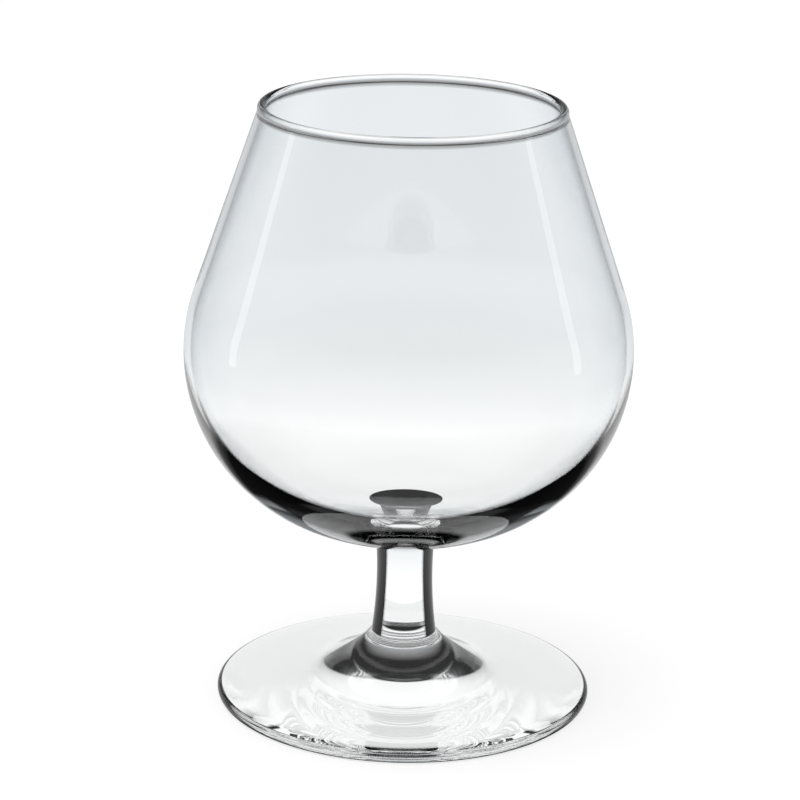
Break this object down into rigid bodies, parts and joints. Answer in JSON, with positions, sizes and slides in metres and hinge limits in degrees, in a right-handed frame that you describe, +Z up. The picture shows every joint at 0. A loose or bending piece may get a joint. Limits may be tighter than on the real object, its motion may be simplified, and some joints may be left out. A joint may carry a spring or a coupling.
{
  "type": "brandy snifter",
  "caption": "Stemmed clear glass for brandy: a round bowl drawn in to a narrow mouth, on a short solid stem and a wide round foot.",
  "frame": {"origin": "centre of the flat ring that the foot rests on, on the table's surface", "axes": "+Z up along the axis of the stem; the glass is the same all round, so +X and +Y are free"},
  "size_m": [0.086, 0.086, 0.1178],
  "materials": {
    "bowl_glass": "clear blown soda glass, fire polished",
    "stem_glass": "clear drawn soda glass, fire polished",
    "foot_glass": "clear pressed soda glass with faint mould rings at the neck"
  },
  "bodies": {
    "root": {"bowl": "bowl_glass", "stem": "stem_glass", "foot": "foot_glass"}
  },
  "joints": []
}
